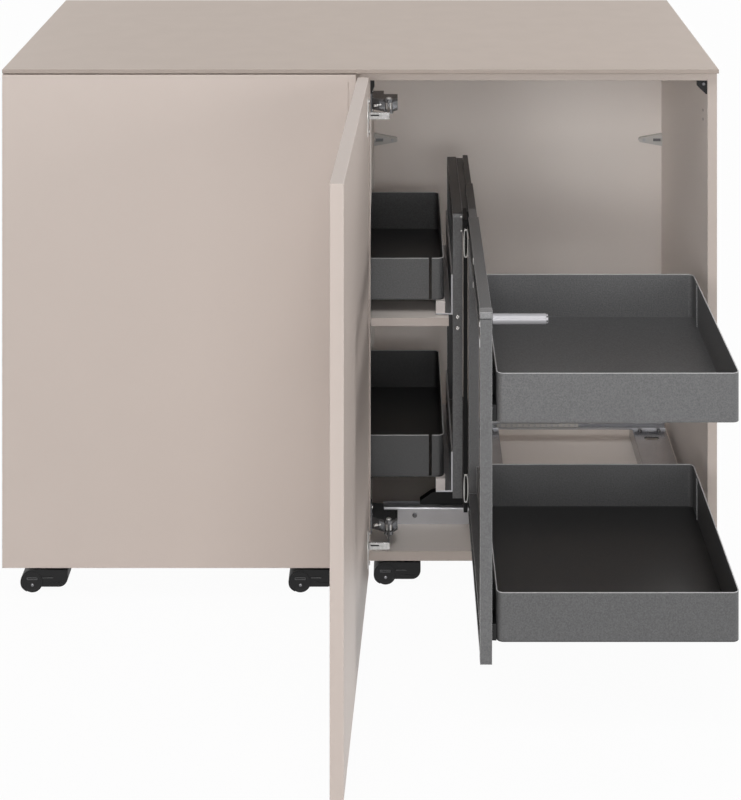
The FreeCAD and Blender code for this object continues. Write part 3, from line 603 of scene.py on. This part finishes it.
black_steel = coated("black_steel_coat", linear(8, 8, 9), linear(12, 12, 13), linear(30, 30, 31),
                     roughness=(0.45, 0.55), cloud_size=0.003, grain_size=0.0009, bump=0.3,
                     edge_width=0.0008, specular=0.2)
nickel = plated("polished_nickel", linear(190, 188, 186), linear(208, 206, 204),
                roughness=(0.1, 0.2), cloud_size=0.02, grain_size=0.0008, bump=0.05)
bright_steel = plated("bright_steel", linear(226, 225, 223), linear(240, 239, 237),
                      roughness=(0.25, 0.35), cloud_size=0.02, grain_size=0.0008, bump=0.05, metallic=0.6)
post_low, post_high = box_of("carriage_frame")
post_middle = (post_low.x + post_high.x) / 2
post_face_depth = 0.0008
# Darker copy of the powder coat: painted shade.
carriage_shaded_coat = powder_coated("carriage_shaded_coat", 18, 58)
# Front face of the near post paler: painted light.
faced(carriage_shaded_coat, "Y", post_low.y + post_face_depth,
      linear(44, 44, 45), linear(118, 118, 119), below=True)
finish_nodes(carriage_shaded_coat, "carriage_frame", "runner_bars")
finish_nodes(black_steel, "guide_frame")
finish_nodes(black_moulding, "carriage_shoe")
finish_nodes(zinc, "rear_slider")
finish_nodes(nickel, "catches")
post_rivet_r = 0.0018
post_rivet_x = post_high.x - 0.002
post_rivet_levels = (0.624, 0.600)
set_fasteners("carriage_rivets", rivet_head, post_rivet_r, bright_steel, "carriage",
              [((post_rivet_x, post_low.y, level), (0, -1, 0)) for level in post_rivet_levels])
catch_low, catch_high = box_of("catches")
catch_height = 0.048
wire_r = 0.0010
wire_bend = 0.0018
left, right = catch_low.x + wire_r, catch_high.x - wire_r
for name, top in (("lower_catch_loop", catch_low.z + catch_height), ("upper_catch_loop", catch_high.z)):
    line = bpy.data.curves.new(name, "CURVE")
    line.dimensions = "3D"
    line.bevel_depth = wire_r
    line.bevel_resolution = 3
    loop = line.splines.new("BEZIER")
    upper, lower = top - wire_r, top - catch_height + wire_r
    bends = [(left + wire_bend, upper), (right - wire_bend, upper), (right, upper - wire_bend),
             (right, lower + wire_bend), (right - wire_bend, lower), (left + wire_bend, lower),
             (left, lower + wire_bend), (left, upper - wire_bend)]
    loop.bezier_points.add(len(bends) - 1)
    for point, (x, z) in zip(loop.bezier_points, bends):
        point.co = (x, catch_low.y - wire_r, z)
        point.handle_left_type = "AUTO"
        point.handle_right_type = "AUTO"
    loop.use_cyclic_u = True
    wire = bpy.data.objects.new(name + "_line", line)
    bpy.context.scene.collection.objects.link(wire)
    bpy.context.view_layer.update()
    data = bpy.data.meshes.new_from_object(wire.evaluated_get(bpy.context.evaluated_depsgraph_get()))
    bpy.data.objects.remove(wire)
    piece = bpy.data.objects.new(name, data)
    bpy.context.scene.collection.objects.link(piece)
    fix(piece, bright_steel, "carriage")
post_screw_r = 0.004
post_screw_levels = (0.452, 0.433)
set_fasteners("carriage_screws", screw_head, post_screw_r, nickel, "carriage",
              [((post_middle, post_low.y, level), (0, -1, 0)) for level in post_screw_levels])

# Rear trays: folded sheet in darker copies of the powder coat, darkest on the floors, as painted
# shade inside the cabinet, with a painted highlight on the rim, on white moulded clips that sit on
# bent zinc carriers of the carriage.
tray_sheet = 0.0015
floor_margin = 0.0003
rim_highlight_depth = 0.0007


def tray_finish(name, wall, floor):
    """Powder coat of a tray: wall and floor tones from dark to light, darker copies as painted shade, and a
    painted highlight on the rim.
    """
    low, high = box_of(name)
    # Edges ten levels lighter than the walls: a painted highlight.
    edge_highlight_lift = 10
    material = powder_coated(name + "_coat", wall[0], wall[1], wall[1] + edge_highlight_lift)
    # Floors darker: painted shade.
    faced(material, "Z", low.z + tray_sheet + floor_margin,
          linear(floor[0], floor[0], floor[0] + 1), linear(floor[1], floor[1], floor[1] + 1), below=True)
    # Rim: painted highlight along the top of the walls.
    faced(material, "Z", high.z - rim_highlight_depth, linear(176, 176, 177), linear(196, 196, 197))
    finish_nodes(material, name)


# Rear trays darker than the front ones, floors darkest: painted shade inside the cabinet.
tray_finish("upper_rear_tray", (28, 96), (12, 40))
tray_finish("lower_rear_tray", (14, 60), (6, 18))
finish_nodes(zinc, "rear_tray_carriers")
white_moulding = coated("white_moulding", linear(216, 209, 206), linear(224, 217, 214),
                        linear(232, 226, 223),
                        roughness=(0.35, 0.5), cloud_size=0.02, grain_size=0.0006, bump=0.1)
finish_nodes(white_moulding, "rear_tray_clips")

# Runners: rolled channels in the carriage's darker coat, painted shade, between the carriage's bars and the
# front unit's channels.
finish_nodes(carriage_shaded_coat, "runner_middles")

# Front unit: an upright frame with channels and tray bars, a cap on a black collar that is a painted
# shadow gap, and a round handle with three holes in its end drawn as black discs of painted shade.
# Two folded trays hang on notched black hooks with feet: the lower tray and the floors are darker
# copies of the coat as painted shade, the rims carry a painted highlight, and a paler seam strip in
# the right wall is a painted highlight. Bright stops end the channels and the middle runners.
finish_nodes(powder_coated("anthracite_powder_coat", 38, 114), "front_frame")
finish_nodes(powder_coated("post_cap_coat", 84, 154), "post_cap")
# The floors and the whole lower tray darker: painted shade under the upper tray.
tray_finish("upper_front_tray", (38, 114), (34, 108))
tray_finish("lower_front_tray", (28, 97), (12, 42))
finish_nodes(black_moulding, "front_tray_hooks")
hook_low, hook_high = box_of("front_tray_hooks")
hook_width = 0.020
hook_rise = hook_low.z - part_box("lower_front_tray")[0][2]
foot_set = 0.004
seam_width = 0.004
seam_highlight_strips = []
foot_outlines = []
for name in ("upper_front_tray", "lower_front_tray"):
    tray_low, tray_high = box_of(name)
    wall_face = tray_high.x - tray_sheet
    seam_highlight_strips.append(block(wall_face - tray_sheet, wall_face,
                             tray_low.z + tray_sheet, tray_high.z - 2 * tray_sheet))
    foot_outlines.append(block(hook_low.x, hook_high.x, tray_low.z, tray_low.z + hook_rise))
# Paler seam strip on the right wall: a painted highlight of the seam.
seam_near = tray_high.y - 0.050
tray_seam_highlights = prism("front_tray_seams", seam_highlight_strips, seam_near, seam_near + seam_width)
fix(tray_seam_highlights, powder_coated("seam_highlight_coat", 84, 154), "front_unit")
for name, near, far in (("near_hook_feet", tray_low.y + foot_set, hook_low.y + hook_width),
                        ("far_hook_feet", hook_high.y - hook_width, hook_high.y)):
    fix(prism(name, foot_outlines, near, far), black_moulding, "front_unit")
satin = plated("satin_metal", linear(138, 137, 140), linear(150, 149, 152),
               roughness=(0.42, 0.5), cloud_size=0.05, grain_size=0.0006, bump=0.02)
finish_nodes(satin, "handle")
unit_low = Vector(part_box("front_frame")[0])
stop_height = 0.0010
stop_depth = 0.006
runner_stop_near = carcass_front - 0.193
channel_stop_near = unit_low.y + 0.004
for name, near, spans in (("runner_stops", runner_stop_near, ((0.632, 0.640), (0.595, 0.603))),
                          ("channel_stops", channel_stop_near, ((0.617, 0.624), (0.587, 0.600)))):
    piece = prism(name, [block(unit_low.x - stop_height, unit_low.x, z0, z1) for z0, z1 in spans],
                  near, near + stop_depth)
    fix(piece, bright_steel, "front_unit")
cap_low, cap_high = box_of("post_cap")
# Black collar under the cap: a painted shadow gap.
collar_set = 0.0004
collar_height = 0.0014
collar = prism("post_collar", [block(cap_low.x + collar_set, cap_high.x - collar_set,
                                     cap_low.z - collar_height, cap_low.z)],
               cap_low.y + collar_set, cap_high.y)
fix(collar, black_moulding, "front_unit")
grip_low, grip_high = box_of("handle")
grip_end_r = 0.007
grip_middle = (grip_low + grip_high) / 2
grip_hole_r = 0.0012
grip_hole_x = grip_high.x - 0.0015
grip_hole_turns = (-55, -5, 45)
# Black discs for the holes in the handle's end: painted shade in the holes.
grip_hole_shades = []
for turn in grip_hole_turns:
    aim = Vector((0, -math.cos(math.radians(turn)), math.sin(math.radians(turn))))
    grip_hole_shades.append(((grip_hole_x, grip_middle.y + aim.y * grip_end_r,
                        grip_middle.z + aim.z * grip_end_r), aim))
set_fasteners("handle_end_holes", bore_disc, grip_hole_r, black_moulding, "front_unit",
              grip_hole_shades)

# Worktop: one 7 mm compact laminate plate over both modules, a little darker than the boards,
# with a fine stone grain, a thin chamfer, and its front and side faces painted darker as painted shade.
laminate = coated("stone_grain_laminate", linear(186, 171, 160), linear(194, 179, 168),
                  linear(182, 168, 158),
                  roughness=(0.45, 0.6), cloud_size=0.05, grain_size=0.0008, bump=0.15)
worktop_edge_shade_dark = linear(160, 147, 138)
worktop_edge_shade_light = linear(166, 153, 144)
top_low, top_high = box_of("worktop")
# Front and side faces darker: painted shade.
faced(laminate, "Y", top_low.y + face_depth, worktop_edge_shade_dark, worktop_edge_shade_light, below=True)
faced(laminate, "X", top_high.x - face_depth, worktop_edge_shade_dark, worktop_edge_shade_light, mirrored=True)
finish_nodes(laminate, "worktop")

# Fronts and door: 19 mm board with a matt warm-grey lacquer all round. The lacquer has a faint
# orange peel and soft clouds. The fixed front is screwed on from inside.
lacquer = coated("warm_grey_lacquer", lacquer_dark, lacquer_light, linear(212, 200, 192),
                 roughness=(0.38, 0.5), cloud_size=0.3, grain_size=0.0015, bump=0.08)
finish_nodes(lacquer, "fixed_front", "door_panel")

# Hinges: bright cups in the door, mounting plates and arms in streaky black nickel on the inner
# side, with damper barrels and pin heads, and cranked nickel links, each with a black strip that is
# painted shade in a slot. Cross-head screws hold plates, arms and the flanges of the cups.
black_nickel = plated("black_nickel", linear(70, 70, 72), linear(134, 134, 136),
                      roughness=(0.15, 0.25), cloud_size=0.004, grain_size=0.0008, bump=0.1, metallic=0.7)
link_nickel = plated("link_nickel", linear(140, 139, 138), linear(216, 214, 212),
                     roughness=(0.15, 0.25), cloud_size=0.004, grain_size=0.0008, bump=0.1)
finish_nodes(link_nickel, "hinge_links")
finish_nodes(bright_steel, "hinge_cups")
finish_nodes(black_nickel, "hinge_arms", "hinge_plates")
plate_low, plate_high = box_of("hinge_plates")
arm_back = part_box("hinge_arms")[1][1]
plate_middle_y = (plate_low.y + plate_high.y) / 2
plate_half = 0.025
hinge_levels = (plate_low.z + plate_half, plate_high.z - plate_half)
plate_screw_half = 0.016
plate_screw_r = 0.0038
set_fasteners("hinge_plate_screws", screw_head, plate_screw_r, nickel, "cabinet",
              [((plate_high.x, plate_middle_y, level + side), (1, 0, 0)) for level in hinge_levels
               for side in (-plate_screw_half, plate_screw_half)])
arm_root = 0.020
arm_screw_from_back = 0.011
arm_screw_r = 0.0042
set_fasteners("hinge_arm_screws", screw_head, arm_screw_r, nickel, "cabinet",
              [((plate_high.x + arm_root, arm_back - arm_screw_from_back, level), (1, 0, 0))
               for level in hinge_levels])
damper_barrel = turned("damper_barrel", ((0.5, -2.9), (0.85, -2.75), (1.0, -2.4), (1.0, 2.0), (0.8, 2.25),
                                         (0.45, 2.35), (0.45, 3.0), (0.1, 3.05)), 20)
damper_r = 0.0027
damper_x = plate_high.x + 0.0105
damper_y = carcass_front + 0.0155
damper_down = 0.0012
damper_aim = (1, 0, 0.17)
set_fasteners("hinge_damper_barrels", damper_barrel, damper_r, nickel, "cabinet",
              [((damper_x, damper_y, level - damper_down), damper_aim) for level in hinge_levels])
pin_r = 0.0045
pin_x = 0.047
pin_y = carcass_front + 0.007
pin_up = 0.012
set_fasteners("hinge_pin_heads", rivet_head, pin_r, bright_steel, "cabinet",
              [((pin_x, pin_y, level + pin_up), (0, 0, 1)) for level in hinge_levels])
link_low = Vector(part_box("hinge_links")[0])
link_slot_left = link_low.x + 0.004
link_slot_right = link_low.x + 0.018
link_slot_height = 0.0022
link_slot_proud = 0.0003
link_slot_sunk = 0.0005
slot_outlines = [block(link_slot_left, link_slot_right, level, level + link_slot_height)
                 for level in hinge_levels]
# Black strip on each link: painted shade in its slot.
link_slot_shades = prism("hinge_link_slots", slot_outlines,
                   link_low.y - link_slot_proud, link_low.y + link_slot_sunk)
fix(link_slot_shades, black_moulding, "hinge_link_pair")
hinge = next(joint for joint in frame["joints"] if joint["name"] == "door_hinge")
door_axis = Vector(hinge["pos_m"])
door_turn = Matrix.Rotation(-math.radians(hinge["range_deg"][1]), 3, "Z")
flange_from_axis = Vector((0.0385, 0.0294, 0))
flange_point = door_axis + door_turn @ flange_from_axis
flange_aim = door_turn @ Vector((0, 1, 0))
flange_screw_half = 0.025
flange_screw_r = 0.0035
set_fasteners("hinge_cup_screws", screw_head, flange_screw_r, nickel, "door",
              [((flange_point.x, flange_point.y, level + side), flange_aim) for level in hinge_levels
               for side in (-flange_screw_half, flange_screw_half)])
for template in (screw_head, rivet_head, long_rib, short_rib, cheek_cover, bore_disc, steel_ball,
                 damper_barrel):
    bpy.data.objects.remove(template)

# Light: four soft lamps far in front, two near the middle and two to the left, each pair with a
# high and a low one. One hangs above and in front, one over the worktop, one stands to the right
# for the door, and two behind.
def soft_lamp(name, place, target, width, height, watts):
    """Rectangular soft box that looks at a point of the cabinet."""
    data = bpy.data.lights.new(name, "AREA")
    data.shape = "RECTANGLE"
    data.size = width
    data.size_y = height
    data.energy = watts
    lamp = bpy.data.objects.new(name, data)
    lamp.location = place
    lamp.rotation_euler = (Vector(target) - Vector(place)).to_track_quat("-Z", "Y").to_euler()
    bpy.context.scene.collection.objects.link(lamp)


soft_lamp("front_lamp", (0.06, -9.0, 3.7), (0.1, 0, 0.5), width=2, height=1.5, watts=85)
soft_lamp("low_front_lamp", (1.2, -9.0, 1.2), (0.1, 0, 0.5), width=4, height=2, watts=115)
soft_lamp("left_front_lamp", (-3.4, -9.0, 3.4), (0, 0, 0.5), width=2, height=2, watts=100)
soft_lamp("left_low_lamp", (-3.0, -9.0, 1.6), (0.3, 0, 0.5), width=2, height=2, watts=120)
soft_lamp("high_front_lamp", (0, -4, 7), (0, -0.2, 0.5), width=4, height=3, watts=195)
soft_lamp("worktop_lamp", (0, 2.6, 7), (0, 0.3, 0.9), width=5, height=2.5, watts=55)
soft_lamp("right_lamp", (9, -2.2, 2.6), (0, -0.3, 0.5), width=3, height=3, watts=310)
soft_lamp("left_back_lamp", (-4.5, 7, 4), (0, 0.3, 0.5), width=2.5, height=2.5, watts=150)
soft_lamp("right_back_lamp", (4.5, 7, 4), (0, 0.3, 0.5), width=2.5, height=2.5, watts=150)

# Studio: a pale floor that keeps the shadow, and a white surround for the camera and for
# reflections; the light it gives to the object is softer.
floor_half = 30
floor_glow = 0.96
surround_light = 0.08
floor_mesh = bpy.data.meshes.new("floor")
floor_mesh.from_pydata([(-floor_half, -floor_half, 0), (floor_half, -floor_half, 0),
                        (floor_half, floor_half, 0), (-floor_half, floor_half, 0)], [], [(0, 1, 2, 3)])
floor = bpy.data.objects.new("floor", floor_mesh)
bpy.context.scene.collection.objects.link(floor)
floor_paper = bpy.data.materials.new("floor_paper")
floor_paper.use_nodes = True
paper_tree = floor_paper.node_tree
paper_shader = paper_tree.nodes["Principled BSDF"]
paper_shader.inputs["Base Color"].default_value = (0.8, 0.8, 0.8, 1)
paper_shader.inputs["Roughness"].default_value = 0.9
paper_shader.inputs["Specular IOR Level"].default_value = 0
paper_white = paper_tree.nodes.new("ShaderNodeEmission")
paper_share = paper_tree.nodes.new("ShaderNodeMixShader")
paper_path = paper_tree.nodes.new("ShaderNodeLightPath")
paper_most = paper_tree.nodes.new("ShaderNodeMath")
paper_most.operation = "MULTIPLY"
paper_most.inputs[1].default_value = floor_glow
paper_seen = paper_tree.nodes.new("ShaderNodeMath")
paper_seen.operation = "MAXIMUM"
paper_tree.links.new(paper_path.outputs["Is Camera Ray"], paper_seen.inputs[0])
paper_tree.links.new(paper_path.outputs["Is Glossy Ray"], paper_seen.inputs[1])
paper_tree.links.new(paper_seen.outputs[0], paper_most.inputs[0])
paper_tree.links.new(paper_most.outputs[0], paper_share.inputs["Fac"])
paper_tree.links.new(paper_shader.outputs[0], paper_share.inputs[1])
paper_tree.links.new(paper_white.outputs[0], paper_share.inputs[2])
paper_tree.links.new(paper_share.outputs[0], paper_tree.nodes["Material Output"].inputs["Surface"])
floor_mesh.materials.append(floor_paper)

world = bpy.data.worlds.new("studio")
bpy.context.scene.world = world
world.use_nodes = True
studio = world.node_tree
studio_path = studio.nodes.new("ShaderNodeLightPath")
studio_glossy = studio.nodes.new("ShaderNodeMath")
studio_glossy.operation = "MAXIMUM"
studio_seen = studio.nodes.new("ShaderNodeMath")
studio_seen.operation = "MAXIMUM"
studio_level = studio.nodes.new("ShaderNodeMapRange")
studio_level.inputs["To Min"].default_value = surround_light
studio_level.inputs["To Max"].default_value = 1.0
studio.links.new(studio_path.outputs["Is Camera Ray"], studio_glossy.inputs[0])
studio.links.new(studio_path.outputs["Is Glossy Ray"], studio_glossy.inputs[1])
studio.links.new(studio_glossy.outputs[0], studio_seen.inputs[0])
studio.links.new(studio_path.outputs["Is Transmission Ray"], studio_seen.inputs[1])
studio.links.new(studio_seen.outputs[0], studio_level.inputs["Value"])
studio.nodes["Background"].inputs["Color"].default_value = (1, 1, 1, 1)
studio.links.new(studio_level.outputs["Result"], studio.nodes["Background"].inputs["Strength"])
bpy.context.scene.view_settings.view_transform = "Standard"
